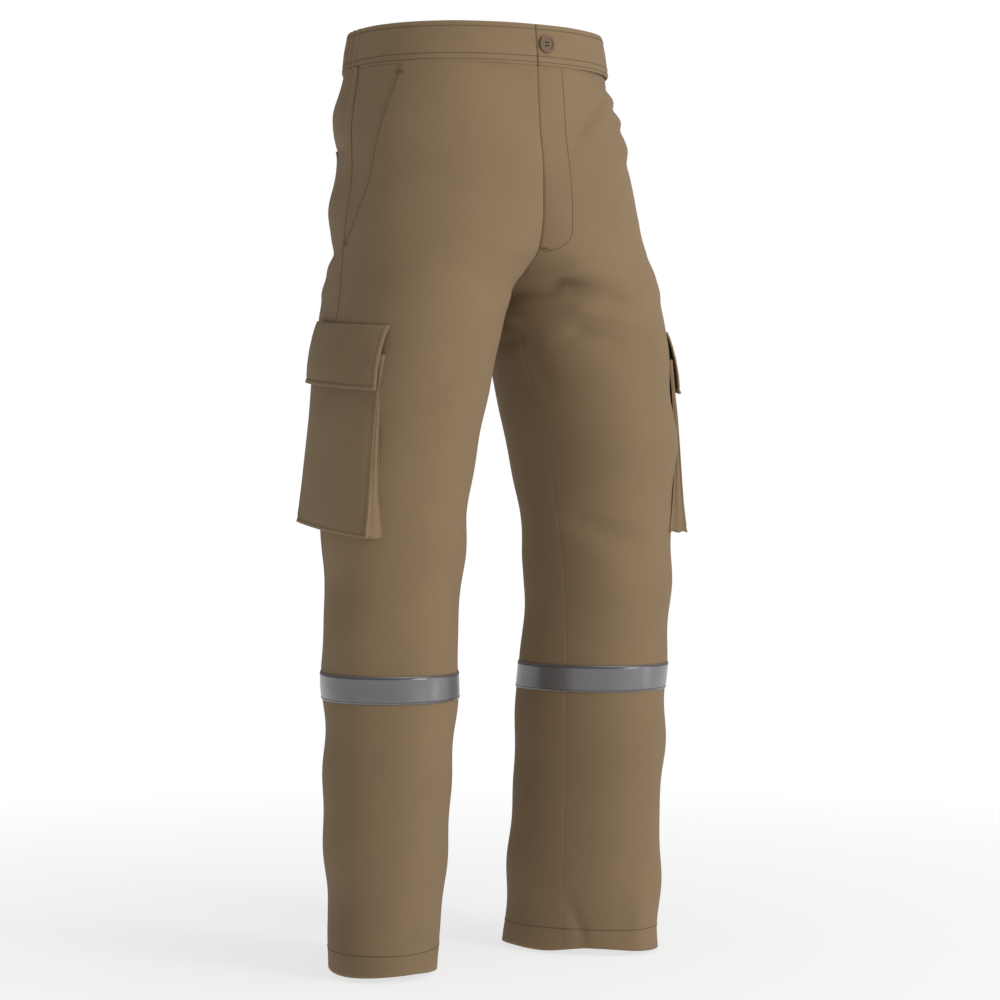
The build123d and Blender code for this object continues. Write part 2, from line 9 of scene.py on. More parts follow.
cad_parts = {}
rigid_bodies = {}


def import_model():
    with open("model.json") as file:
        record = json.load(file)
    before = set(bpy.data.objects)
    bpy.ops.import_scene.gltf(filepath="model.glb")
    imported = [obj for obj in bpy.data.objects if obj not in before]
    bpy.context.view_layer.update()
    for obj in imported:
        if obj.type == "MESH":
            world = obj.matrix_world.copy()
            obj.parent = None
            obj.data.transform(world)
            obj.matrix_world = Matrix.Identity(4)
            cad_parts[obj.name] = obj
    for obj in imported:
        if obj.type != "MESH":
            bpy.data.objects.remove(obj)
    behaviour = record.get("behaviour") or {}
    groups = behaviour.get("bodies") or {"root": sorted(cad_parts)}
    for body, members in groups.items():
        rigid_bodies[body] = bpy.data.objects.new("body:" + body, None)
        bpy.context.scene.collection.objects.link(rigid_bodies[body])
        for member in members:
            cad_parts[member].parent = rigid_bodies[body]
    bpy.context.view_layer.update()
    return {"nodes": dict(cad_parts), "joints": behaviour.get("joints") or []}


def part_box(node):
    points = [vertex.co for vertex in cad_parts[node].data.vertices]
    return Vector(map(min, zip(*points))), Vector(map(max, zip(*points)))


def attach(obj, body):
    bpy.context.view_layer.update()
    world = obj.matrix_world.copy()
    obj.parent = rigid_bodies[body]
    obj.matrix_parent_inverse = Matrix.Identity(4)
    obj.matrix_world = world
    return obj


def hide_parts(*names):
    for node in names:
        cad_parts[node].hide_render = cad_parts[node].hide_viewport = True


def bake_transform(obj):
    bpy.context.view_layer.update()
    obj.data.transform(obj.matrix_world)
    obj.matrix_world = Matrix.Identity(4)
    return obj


# Fire-service work trousers: the visible cloth, sewing and trim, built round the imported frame, in metres.
# The panels are read from the frame's nodes: their sections are sampled, smoothed from hem to waist, then
# draped with folds. Seams, stitches and bands are laid on that one draped surface.

for leftover in list(bpy.data.objects):
    bpy.data.objects.remove(leftover)
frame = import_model()
MM = 0.001
ROOT = "trousers"
SIDES = {"left": 1, "right": -1}     # the wearer's left is +X


def bell(value, middle, width):
    """A smooth bump: 1 at the middle, and nearly gone at twice the width from it."""
    return np.exp(-(((value - middle) / width) ** 2))


def fading(distance, reach):
    """1 at no distance, dying away over the reach."""
    return np.exp(-distance / reach)


def spread(at, along, values):
    """Rows of values, given at the places along, read off at other places."""
    return np.column_stack([np.interp(at, along, values[:, k]) for k in range(3)])


def heights_of(node):
    """A node's lowest and highest height."""
    return tuple(corner.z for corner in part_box(node))


# ---- Reading surfaces from the frame ----
trees = {}


def vertices(node):
    return np.array([v.co[:] for v in frame["nodes"][node].data.vertices])


def tree(node):
    if node not in trees:
        mesh = frame["nodes"][node].data
        trees[node] = BVHTree.FromPolygons([v.co for v in mesh.vertices], [p.vertices for p in mesh.polygons])
    return trees[node]


def first_hit(nodes, start, direction):
    """The nearest point that a ray meets on the nodes, or None."""
    best, reach = None, math.inf
    for node in nodes:
        place, _, _, distance = tree(node).ray_cast(Vector(start), Vector(direction))
        if place is not None and distance < reach:
            best, reach = place, distance
    return best


EDGE_REACH = 0.8 * MM      # the frame leaves a hair's gap between neighbours, and the cloth closes it
NUDGE = 0.07 * MM          # a cut exactly through a ring of vertices would find no edges
SAME_PLACE = 0.1 * MM
OUTLINE_RAYS = 161
RAY_START = 0.6            # well outside the garment
slices = {}


def slice_at(node, z):
    """Where a node's mesh edges cross the height z."""
    key = (node, round(z, 5))
    if key not in slices:
        mesh = frame["nodes"][node].data
        co = vertices(node)
        ends = np.array([e.vertices[:] for e in mesh.edges])
        a, b = co[ends[:, 0]], co[ends[:, 1]]
        crossing = (a[:, 2] - z) * (b[:, 2] - z) < 0
        a, b = a[crossing], b[crossing]
        t = (z - a[:, 2:]) / (b[:, 2:] - a[:, 2:])
        slices[key] = a + (b - a) * t
    return slices[key]


def inside(node, z):
    """The height itself, moved a hair off any ring of vertices and inside the node's lower and upper end."""
    low, high = heights_of(node)
    return min(max(z + NUDGE, low + 3 * NUDGE), high - 3 * NUDGE)


def same_box(a, b):
    """Whether two rings of points reach equally far in x and in y, to within a millimetre."""
    gaps = np.abs([a.min(0) - b.min(0), a.max(0) - b.max(0)])
    return gaps[:, :2].max() < 1 * MM


def section_heights(node, least=60):
    """Heights of the sections that a node was lofted through. A whole ring of its vertices lies at each."""
    co = vertices(node)
    heights, counts = np.unique(np.round(co[:, 2], 4), return_counts=True)
    whole = []
    for z in heights[counts >= least]:
        ring = co[np.abs(co[:, 2] - z) < SAME_PLACE]
        if same_box(ring, slice_at(node, inside(node, z))):
            whole.append(z)
    return whole


def ring_centre(nodes, z):
    ring = np.vstack([slice_at(node, inside(node, z)) for node in nodes])
    return (ring.min(0) + ring.max(0)) / 2


def outline(node, z, centre, turn_from, fractions):
    """Points of a node's outer surface at height z, at fractions of the way from one edge to the other."""
    level = inside(node, z)
    ring = slice_at(node, level)
    turns = np.arctan2(ring[:, 0] - centre[0], centre[1] - ring[:, 1])
    turns = (turns - turn_from) % (2 * math.pi) + turn_from
    margin = 0.0005
    points = []
    for turn in np.linspace(turns.min() + margin, turns.max() - margin, OUTLINE_RAYS):
        out = np.array([math.sin(turn), -math.cos(turn), 0])
        start = np.array([centre[0], centre[1], level]) + out * RAY_START
        hit = first_hit([node], start, -out)
        if hit is not None:
            points.append([hit.x, hit.y, z])
    points = np.array(points)
    first, last = points[0] - points[2], points[-1] - points[-3]
    points[0] += first / np.linalg.norm(first) * EDGE_REACH
    points[-1] += last / np.linalg.norm(last) * EDGE_REACH
    steps = np.linalg.norm(np.diff(points, axis=0), axis=1)
    along = np.concatenate([[0], np.cumsum(steps)])
    return spread(fractions * along[-1], along, points)


def smooth_between(levels, rings, heights):
    """Monotone cubic interpolation of whole rings from the section levels to the wanted heights."""
    levels = np.array(levels)
    step = np.diff(levels)[:, None, None]
    slope = np.diff(rings, axis=0) / step
    tangent = np.zeros_like(rings)
    tangent[0], tangent[-1] = slope[0], slope[-1]
    below, above = slope[:-1], slope[1:]
    steady = below * above > 0
    safe_below = np.where(steady, below, 1)
    safe_above = np.where(steady, above, 1)
    w1 = 2 * step[1:] + step[:-1]
    w2 = step[1:] + 2 * step[:-1]
    harmonic = (w1 + w2) / (w1 / safe_below + w2 / safe_above)
    tangent[1:-1] = np.where(steady, harmonic, 0)
    rows = []
    for z in heights:
        k = int(np.clip(np.searchsorted(levels, z) - 1, 0, len(levels) - 2))
        h = levels[k + 1] - levels[k]
        t = min(max((z - levels[k]) / h, 0), 1)
        rows.append(
            (2 * t**3 - 3 * t**2 + 1) * rings[k] + (t**3 - 2 * t**2 + t) * h * tangent[k]
            + (3 * t**2 - 2 * t**3) * rings[k + 1] + (t**3 - t**2) * h * tangent[k + 1]
        )
    return np.array(rows)


PANELS = {"front": "front_panel_left", "back": "back_panel_left"}
TURN_FROM = {"front": -math.pi, "back": 0.0}
PANEL_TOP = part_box("front_panel_left")[1].z
LEG_MIDDLE_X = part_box("hem_facing_left")[0].x / 2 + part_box("hem_facing_left")[1].x / 2


def panel_points(panel, fractions, heights):
    """Points of the left leg's front or back panel. The front's fractions run from the centre seam to the
    side seam, and the back's from the side seam to the centre seam."""
    node = PANELS[panel]
    levels = section_heights(node)
    rings = []
    for z in levels:
        centre = ring_centre(PANELS.values(), z)
        rings.append(outline(node, z, centre, TURN_FROM[panel], fractions))
    return smooth_between(levels, np.array(rings), heights)


# ---- Folds ----
HEM_EDGE = 0.5 * MM


def on_panels(side, view, across, z):
    """A point on the cloth seen from the front or the back at x = across, or from the side at y = across.
    Where the leg doesn't reach that far, the nearest place that it does reach is used."""
    nodes = list(PANELS.values()) + ["hip_facing_left"]
    z = max(z, HEM_EDGE)
    across = abs(across) if view != "side" else across
    middle = 0.0 if view == "side" else LEG_MIDDLE_X
    sign = -1 if view == "front" else 1
    for share in np.linspace(0, 1, 60):
        place = across + (middle - across) * share
        start = (1, place, z) if view == "side" else (place, sign, z)
        hit = first_hit(nodes, start, (-1, 0, 0) if view == "side" else (0, -sign, 0))
        if hit is not None:
            break
    return np.array([hit.x * SIDES[side], hit.y, hit.z])


def distance_to_path(points, path):
    """Distance from each point to a path, and how far along the path its nearest point is, from 0 to 1."""
    best = np.full(len(points), np.inf)
    along = np.zeros(len(points))
    count = len(path) - 1
    for k in range(count):
        a, b = path[k], path[k + 1]
        t = np.clip((points - a) @ (b - a) / ((b - a) @ (b - a)), 0, 1)
        distance = np.linalg.norm(points - (a + t[:, None] * (b - a)), axis=1)
        nearer = distance < best
        best[nearer] = distance[nearer]
        along[nearer] = (k + t[nearer]) / count
    return best, along


# Folds by leg and by the view that shows them. Each one: the places its ridge passes (across, up), its height
# and its half width, in millimetres. A negative height is a valley.
FOLDS = {
    ("left", "front"): [
        # drag lines that fan out from the crotch across the left thigh
        ([(4, 772), (45, 782), (105, 770)], 4.0, 8),
        ([(0, 744), (34, 762), (92, 748)], -10.0, 7),
        ([(10, 726), (55, 733), (112, 722)], 5.5, 8),
        ([(12, 700), (55, 709), (94, 703)], -5.5, 7),
        ([(4, 735), (20, 700), (40, 650)], -5.0, 14),
        # the crease from the left hip down to the fly
        ([(108, 986), (78, 955), (44, 924)], -3.4, 5),
        ([(114, 972), (88, 943), (55, 914)], 2.4, 11),
        # breaks at the knee
        ([(68, 500), (95, 486), (130, 480)], -4.5, 12),
        ([(70, 470), (100, 452), (135, 446)], 2.4, 14),
        # dents and waves at the hem
        ([(85, 60), (95, 30), (100, 0)], -3.5, 8),
        ([(150, 70), (155, 35), (150, 0)], 2.8, 12),
    ],
    ("right", "front"): [
        # softer drag lines from the crotch across the right thigh
        ([(12, 796), (50, 772), (85, 752)], -3.0, 12),
        ([(12, 770), (45, 742), (70, 716)], 2.5, 12),
        # breaks at the knee
        ([(78, 505), (100, 492), (130, 488)], -1.6, 14),
        # dents and waves at the hem
        ([(105, 40), (140, 48), (180, 42)], -4.5, 8),
        ([(90, 30), (110, 16), (130, 0)], 3.0, 10),
    ],
    ("left", "side"): [
        # short folds under the band at the left hip
        ([(-105, 992), (-60, 990), (10, 992)], -3.0, 5),
        ([(-105, 979), (-60, 978), (10, 979)], 3.2, 7),
        ([(-105, 966), (-60, 965), (10, 968)], -3.4, 5),
        ([(-105, 953), (-60, 953), (10, 956)], 3.2, 7),
        ([(-105, 941), (-60, 941), (10, 943)], -3.0, 5),
        ([(-105, 920), (-60, 921), (10, 924)], 3.6, 11),
        ([(-105, 902), (-60, 903), (10, 905)], -1.6, 8),
    ],
    ("right", "side"): [
        # slow waves down the right hip
        ([(10, 960), (50, 962), (100, 952)], 2.0, 18),
        ([(10, 916), (50, 918), (100, 912)], -3.6, 10),
        ([(10, 846), (50, 846), (100, 840)], 3.4, 24),
        ([(10, 798), (50, 799), (100, 792)], -3.2, 10),
    ],
    ("left", "back"): [
        # breaks at the knee
        ([(80, 520), (120, 505), (160, 515)], -3.5, 12),
        ([(85, 480), (120, 462), (165, 470)], 3.5, 13),
        # folds under the seat
        ([(12, 765), (60, 742), (120, 742)], -4.5, 11),
        ([(12, 735), (60, 712), (110, 708)], 3.5, 12),
        # dents and waves at the hem
        ([(120, 70), (125, 35), (120, 0)], -3.0, 14),
    ],
    ("right", "back"): [
        # breaks at the knee
        ([(80, 510), (120, 495), (160, 508)], -3.5, 12),
        ([(80, 470), (120, 455), (165, 465)], 3.5, 13),
        # folds under the seat
        ([(12, 768), (60, 745), (120, 746)], -4.5, 11),
        ([(12, 738), (60, 715), (110, 712)], 3.5, 12),
        # dents and waves at the hem
        ([(130, 70), (135, 35), (130, 0)], 3.0, 14),
    ],
}
folds = [
    (np.array([on_panels(side, view, across * MM, z * MM) for across, z in path]), height * MM, width * MM)
    for (side, view), group in FOLDS.items() for path, height, width in group
]

ELASTIC_FRONT_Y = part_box("waistband_outer_back")[0].y
WAIST_RADIUS = 140 * MM
GATHER_PITCH, GATHER_HEIGHT, GATHER_DROP = 17 * MM, 2.6 * MM, 32 * MM
GATHER_START = 8 * MM

# Slow waves of hanging cloth. Each one: its height in millimetres, its radians a metre along x, y and z, and
# the phase by which the two legs differ.
WAVES = [(1.5, (9, 0, 38), 3.0), (1.0, (0, -17, 71), 1.7), (0.8, (23, 31, 55), 0.0)]
CENTRE_CALM, CALM_WIDTH = 0.8, 60 * MM

HEM_RISE, HEM_FADE = 6.5 * MM, 30 * MM


def round_waist(points):
    """Each point's angle round the body, from the middle of the back, and the length of waist up to it."""
    around = np.arctan2(points[:, 0], points[:, 1])
    return around, around * WAIST_RADIUS


def gathers(points):
    """Puckers that the elastic draws into the cloth, round the back and the sides. They fade downwards."""
    around, arc = round_waist(points)
    wander = 0.35 * np.sin(around * 5.0) + 0.25 * np.sin(around * 11.0 + 1.0)
    drawn = 1 / (1 + fading(points[:, 1] - ELASTIC_FRONT_Y, GATHER_START))
    drop = np.clip(PANEL_TOP - points[:, 2], 0, None)
    strength = 0.65 + 0.35 * np.sin(around * 7.3 + 0.7)
    ridges = np.sin(2 * math.pi * (arc / GATHER_PITCH + wander))
    return GATHER_HEIGHT * drawn * strength * fading(drop, GATHER_DROP) * ridges


def waves(points):
    """Slow, shallow unevenness of hanging cloth, calmer near the centre seams."""
    x = points[:, 0]
    side = np.tanh(x / (40 * MM))
    moves = [height * MM * np.sin(points @ rates + phase * side) for height, rates, phase in WAVES]
    return (1 - CENTRE_CALM * bell(x, 0, CALM_WIDTH)) * sum(moves)


def hem_rise(points):
    """How far the uneven hems stand off the floor, in waves round each leg."""
    x, y, z = points.T
    turn = np.arctan2(np.abs(x) - LEG_MIDDLE_X, y)
    wave = 0.5 + 0.5 * np.sin(3 * turn + np.where(x > 0, 0.6, 2.4)) * np.cos(turn - 0.4)
    return HEM_RISE * wave * fading(np.clip(z, 0, None), HEM_FADE)


def drape(points, normals):
    """Moves points of the bare surface along their normals, to where the folded cloth lies."""
    flat, out = points.reshape(-1, 3), normals.reshape(-1, 3)
    move = waves(flat) + gathers(flat)
    for path, height, width in folds:
        distance, along = distance_to_path(flat, path)
        ends = np.sin(math.pi * np.clip(along * 0.86 + 0.07, 0, 1)) ** 0.7
        move += np.where(distance < 3 * width, height * bell(distance, 0, width) * ends, 0)
    moved = flat + out * move[:, None]
    moved[:, 2] += hem_rise(flat)
    return moved.reshape(points.shape)


# ---- Mesh building ----
def grid_normals(grid):
    """Unit normals of a grid of points, rows upwards and columns round the body, pointing outwards."""
    up = np.gradient(grid, axis=0)
    across = np.gradient(grid, axis=1)
    normals = np.cross(across, up)
    return normals / np.maximum(np.linalg.norm(normals, axis=2, keepdims=True), 1e-9)


def new_object(name, points, faces, uvs=None, smooth=True):
    mesh = bpy.data.meshes.new(name)
    mesh.from_pydata([tuple(p) for p in points], [], faces)
    if uvs is not None:
        layer = mesh.uv_layers.new(name="cloth")
        corners = np.zeros(len(mesh.loops), int)
        mesh.loops.foreach_get("vertex_index", corners)
        layer.data.foreach_set("uv", uvs[corners].astype(np.float32).ravel())
    mesh.polygons.foreach_set("use_smooth", [smooth] * len(mesh.polygons))
    mesh.update()
    piece = bpy.data.objects.new(name, mesh)
    bpy.context.scene.collection.objects.link(piece)
    return piece


def grid_faces(rows, columns):
    faces = []
    for i in range(rows - 1):
        for j in range(columns - 1):
            k = i * columns + j
            faces.append((k, k + 1, k + columns + 1, k + columns))
    return faces


def row_lengths(grid):
    """How far along its row each point of a grid is from the first column."""
    steps = np.linalg.norm(np.diff(grid, axis=1), axis=2)
    return np.concatenate([np.zeros((len(grid), 1)), np.cumsum(steps, axis=1)], axis=1)


def cloth_lengths(grid):
    """Distances across and up a grid, as UV coordinates in metres, so that a weave keeps its scale."""
    across = np.linalg.norm(np.diff(grid, axis=1), axis=2).mean(0)
    up = np.linalg.norm(np.diff(grid, axis=0), axis=2).mean(1)
    u = np.concatenate([[0], np.cumsum(across)])
    v = np.concatenate([[0], np.cumsum(up)])
    return np.stack(np.meshgrid(u, v), axis=2).reshape(-1, 2)


def sheet(name, grid, thickness):
    """A cloth sheet from a grid of points whose normals point outwards. Its thickness goes inwards."""
    piece = new_object(name, grid.reshape(-1, 3), grid_faces(*grid.shape[:2]), cloth_lengths(grid))
    solid = piece.modifiers.new("thickness", "SOLIDIFY")
    solid.thickness = thickness
    solid.offset = -1
    solid.use_even_offset = True
    return piece


def for_side(grid, side):
    """The left leg's grid, or its mirror image, with its columns turned round to keep it facing outwards."""
    if side == "left":
        return grid
    flipped = grid[:, ::-1].copy()
    flipped[..., 0] *= -1
    return flipped


def settle(piece, material, node):
    """Fixes a piece to the trousers, in the place of one of the frame's nodes."""
    piece.data.materials.append(material)
    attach(piece, ROOT)
    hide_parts(node)


def sewn(name, grid, thickness, material, node):
    settle(sheet(name, grid, thickness), material, node)


# ---- Materials ----
def material_nodes(name):
    material = bpy.data.materials.new(name)
    material.use_nodes = True
    return material, material.node_tree, material.node_tree.nodes["Principled BSDF"]


def fill(nt, node, values):
    """Sets a node's inputs and settings. A socket is linked, and anything else is a plain value."""
    for key, value in values.items():
        if key not in node.inputs:
            setattr(node, key, value)
        elif isinstance(value, bpy.types.NodeSocket):
            nt.links.new(value, node.inputs[key])
        else:
            node.inputs[key].default_value = value
    return node


def add(nt, kind, **values):
    return fill(nt, nt.nodes.new(kind), values)


def ramp(nt, source, low, high, low_at=0.3, high_at=0.7):
    """A colour that runs from low to high as the source runs between the two places."""
    node = add(nt, "ShaderNodeValToRGB", Fac=source)
    for stop, place, colour in zip(node.color_ramp.elements, (low_at, high_at), (low, high)):
        stop.position = place
        stop.color = (*colour, 1)
    return node.outputs["Color"]


def grey(value):
    return (value, value, value)


def varied(nt, source, colour, variation):
    return ramp(nt, source, scaled(colour, 1 - variation), scaled(colour, 1 + variation))


def mapped(nt, value, reads=(0, 1), gives=(0, 1)):
    """Maps a value from one range to another, and keeps it within the second."""
    ends = {"From Min": reads[0], "From Max": reads[1], "To Min": gives[0], "To Max": gives[1]}
    return add(nt, "ShaderNodeMapRange", Value=value, **ends).outputs["Result"]


def mixed(nt, kind, factor, a, b):
    mix = add(nt, "ShaderNodeMix", data_type="RGBA", blend_type=kind, Factor=factor, A=a, B=b)
    return mix.outputs["Result"]


def bumped(nt, height, strength, distance, **under):
    bump = add(nt, "ShaderNodeBump", Height=height, Strength=strength, Distance=distance, **under)
    return bump.outputs["Normal"]


def scaled(colour, factor):
    return tuple(c * factor for c in colour)


def woven(name, colour, pitch=0.9 * MM, rough=0.85, sheen=0.1, ribs=False, variation=0.06):
    """Woven cloth: diagonal twill or upright ribs, with uneven yarn, faded ridges and slow colour changes."""
    material, nt, shader = material_nodes(name)
    coords = add(nt, "ShaderNodeUVMap", uv_map="cloth").outputs["UV"]
    place = add(nt, "ShaderNodeNewGeometry").outputs
    turns = 2 * math.pi / pitch
    ridge_way, ridge_scale = ("X", turns / 20) if ribs else ("DIAGONAL", turns / 10)
    twill = add(
        nt, "ShaderNodeTexWave", wave_type="BANDS", bands_direction=ridge_way,
        Vector=coords, Scale=ridge_scale, Distortion=0.6,
    ).outputs["Fac"]
    weft = add(
        nt, "ShaderNodeTexWave", wave_type="BANDS", bands_direction="Y", Vector=coords, Scale=turns / 13,
    ).outputs["Fac"]
    slub = add(nt, "ShaderNodeTexNoise", Vector=place["Position"], Scale=900.0, Detail=4.0).outputs["Fac"]
    blotch = add(nt, "ShaderNodeTexNoise", Vector=place["Position"], Scale=7.0, Detail=3.0).outputs["Fac"]
    base = varied(nt, blotch, colour, variation)
    yarn = mixed(nt, "MULTIPLY", 0.35, base, ramp(nt, twill, grey(0.72), grey(1.0), 0.1, 0.8))
    uneven = mixed(nt, "MULTIPLY", 0.3, yarn, ramp(nt, slub, grey(0.75), grey(1.1)))
    wear = mapped(nt, place["Pointiness"], reads=(0.51, 0.62), gives=(0, 0.35))
    worn = mixed(nt, "MIX", wear, uneven, (*scaled(colour, 1.35), 1))
    weave = add(nt, "ShaderNodeMath", operation="ADD")
    nt.links.new(twill, weave.inputs[0])
    nt.links.new(weft, weave.inputs[1])
    woven_normal = bumped(nt, weave.outputs["Value"], 0.35, 0.15 * MM)
    fill(nt, shader, {
        "Base Color": worn,
        "Normal": bumped(nt, slub, 0.12, 0.4 * MM, Normal=woven_normal),
        "Roughness": rough,
        "Sheen Weight": sheen,
        "Sheen Roughness": 0.5,
        "Sheen Tint": (*[min(1, 0.5 + c) for c in colour], 1),
        "Specular IOR Level": 0.25,
    })
    return material


def solid_finish(name, colour, rough, metallic=0.0, grain=300.0, depth=0.05 * MM, variation=0.12):
    """A hard finish with fine grain, uneven gloss and colour that changes a little over the piece."""
    material, nt, shader = material_nodes(name)
    place = add(nt, "ShaderNodeNewGeometry").outputs["Position"]
    noise = add(nt, "ShaderNodeTexNoise", Vector=place, Scale=grain, Detail=6.0).outputs["Fac"]
    fill(nt, shader, {
        "Base Color": varied(nt, noise, colour, variation),
        "Roughness": mapped(nt, noise, gives=(rough * 0.8, min(1, rough * 1.25))),
        "Normal": bumped(nt, noise, 0.4, depth),
        "Metallic": metallic,
    })
    return material


def reflective(name, colour):
    """Retroreflective tape: a silvery layer of tiny cells that shines back softly."""
    material, nt, shader = material_nodes(name)
    coords = add(nt, "ShaderNodeUVMap", uv_map="cloth").outputs["UV"]
    cells = add(nt, "ShaderNodeTexVoronoi", Vector=coords, Scale=900.0).outputs["Distance"]
    smudge = add(nt, "ShaderNodeTexNoise", Vector=coords, Scale=35.0, Detail=5.0).outputs["Fac"]
    tone = ramp(nt, cells, scaled(colour, 1.08), scaled(colour, 0.85), 0.1, 0.7)
    fill(nt, shader, {
        "Base Color": mixed(nt, "MULTIPLY", 0.5, tone, ramp(nt, smudge, grey(0.82), grey(1.0))),
        "Normal": bumped(nt, cells, 0.25, 0.1 * MM),
        "Metallic": 0.6,
        "Roughness": 0.33,
        "Sheen Weight": 0.2,
    })
    return material


TAN = (0.226, 0.153, 0.083)
twill_cloth = woven("twill_cloth", TAN)
inner_cloth = woven("inner_cloth", scaled(TAN, 0.85))
pocketing = woven("pocketing", scaled(TAN, 0.75), pitch=0.6 * MM)
elastic_rib = woven("elastic_rib", (0.30, 0.26, 0.20), pitch=1.8 * MM, ribs=True)
interlining = woven("interlining", (0.55, 0.53, 0.49), pitch=0.5 * MM, sheen=0.05)
zip_cloth = woven("zip_cloth", scaled(TAN, 0.6), pitch=0.7 * MM)
napped = woven("napped", scaled(TAN, 0.5), pitch=1.2 * MM, rough=0.95, sheen=0.6)
label_cloth = woven("label_cloth", (0.72, 0.70, 0.65), pitch=0.4 * MM)
tape = reflective("reflective_tape", (0.20, 0.195, 0.205))
thread = woven("thread", (0.030, 0.019, 0.011), pitch=0.35 * MM, sheen=0.3)
tan_thread = woven("tan_thread", (0.120, 0.080, 0.045), pitch=0.35 * MM)
HORN, BRASS = (0.120, 0.072, 0.033), (0.36, 0.28, 0.16)
button_horn = solid_finish("button_horn", HORN, 0.6, grain=160.0, depth=0.04 * MM, variation=0.3)
brass = solid_finish("antique_brass", BRASS, 0.34, metallic=1.0, grain=500.0, depth=0.02 * MM)


# ---- Panels ----
CLOTH_THICKNESS = 1.1 * MM
ROW_STEP = 4 * MM
SEAM_ROLL, SEAM_ROLL_WIDTH = 0.5 * MM, 1.0 * MM


def edge_spaced(count):
    """Fractions from 0 to 1, closer together near both ends, where the seams are."""
    ends = [0.0, 0.004, 0.010, 0.019]
    middle = np.linspace(0.03, 0.97, count)
    return np.array(ends + list(middle) + [1 - e for e in ends[::-1]])


def rolled_edges(grid, normals):
    """Turns a sheet's side edges inwards, as a seam draws them in."""
    along = row_lengths(grid)
    roll = fading(along, SEAM_ROLL_WIDTH) + fading(along[:, -1:] - along, SEAM_ROLL_WIDTH)
    return grid - normals * roll[..., None] * SEAM_ROLL


panel_columns = {"front": edge_spaced(64), "back": edge_spaced(72)}
panel_rows = np.concatenate([np.arange(0, PANEL_TOP, ROW_STEP), [PANEL_TOP]])
bare = {panel: panel_points(panel, panel_columns[panel], panel_rows) for panel in PANELS}


CROTCH_HEIGHT = 0.76
SEAM_OVERLAP, SEAM_PULL = 0.15 * MM, 10 * MM


def joined_at_centre(grid):
    """Draws a panel's edge back to the centre seam, which its folds may have moved it away from."""
    first = np.abs(grid[-1, 0, 0]) < np.abs(grid[-1, -1, 0])
    near = grid if first else grid[:, ::-1]
    side = np.sign(near[:, near.shape[1] // 2, 0])
    above = near[:, 0, 2] > CROTCH_HEIGHT
    shift = np.where(above, -side * SEAM_OVERLAP - near[:, 0, 0], 0)
    near[..., 0] += shift[:, None] * fading(row_lengths(near), SEAM_PULL)
    return near if first else near[:, ::-1]


def draped_panel(panel, side):
    """The cloth of one panel: the bare surface, its seams rolled in and its folds laid in."""
    grid = for_side(bare[panel], side)
    normals = grid_normals(grid)
    return joined_at_centre(rolled_edges(drape(grid, normals), normals))


def build_panels():
    for panel in PANELS:
        for side in SIDES:
            grid = draped_panel(panel, side)
            sewn(f"{panel}_panel_cloth_{side}", grid, CLOTH_THICKNESS, twill_cloth, f"{panel}_panel_{side}")


# ---- Laying things on the cloth ----
panel_levels = np.array(section_heights(PANELS["front"]))


def hip_facing_grid(fractions, heights):
    """The left hip facing's outer surface, read round the leg's middle at the panels' nearest section."""
    node = "hip_facing_left"
    levels = section_heights(node, least=30)
    rings = []
    for z in levels:
        nearest = panel_levels[np.abs(panel_levels - z).argmin()]
        rings.append(outline(node, z, ring_centre(PANELS.values(), nearest), -math.pi, fractions))
    return smooth_between(levels, np.array(rings), heights)


def laid(grid, side, lift=0.0):
    """A grid laid on the draped cloth, lifted off it a little."""
    grid = for_side(grid, side)
    normals = grid_normals(grid)
    return drape(grid, normals) + normals * lift


def build_hip_facings():
    low, high = heights_of("hip_facing_left")
    heights = np.append(np.arange(low, high, ROW_STEP), high)
    grid = hip_facing_grid(np.linspace(0, 1, 24), heights)
    for side in SIDES:
        cloth = laid(grid, side)
        sewn(f"hip_facing_cloth_{side}", cloth, CLOTH_THICKNESS, twill_cloth, f"hip_facing_{side}")


RING_COLUMNS = 90
TAPE_LIFT, TAPE_THICKNESS = 1.0 * MM, 0.5 * MM
TURN_UP_DEPTH = 1.5 * MM


def leg_ring(heights):
    """The whole ring of the left leg, from the side seam round the back, the inseam and the front."""
    shares = np.linspace(0, 1, RING_COLUMNS)
    front = panel_points("front", shares[::-1], heights)[:, ::-1]
    back = panel_points("back", shares, heights)
    return np.concatenate([back[:, :-1], front], axis=1)


def tape_grid(side):
    heights = np.linspace(*heights_of("reflective_band_left"), 9)
    return laid(leg_ring(heights), side, TAPE_LIFT)


def build_reflective_bands():
    for side in SIDES:
        sewn(f"reflective_tape_{side}", tape_grid(side), TAPE_THICKNESS, tape, f"reflective_band_{side}")


def build_hem_facings():
    grid = leg_ring(np.linspace(*heights_of("hem_facing_left"), 8))
    for side in SIDES:
        cloth = laid(grid, side, -TURN_UP_DEPTH)
        sewn(f"hem_facing_cloth_{side}", cloth, CLOTH_THICKNESS, inner_cloth, f"hem_facing_{side}")


# ---- Stitches ----
STITCH_LENGTH, STITCH_PITCH, STITCH_RADIUS = 2.5 * MM, 3.1 * MM, 0.38 * MM
STITCH_SIDES = 5
# A stitch from end to end: the share of its length, its thickness, and how far it stands up from the cloth.
STITCH_SHAPE = [(0, 0.35, -0.5), (0.2, 0.95, 0.1), (0.5, 1, 0.35), (0.8, 0.95, 0.1), (1, 0.35, -0.5)]
EDGE_STITCH = 2.5 * MM


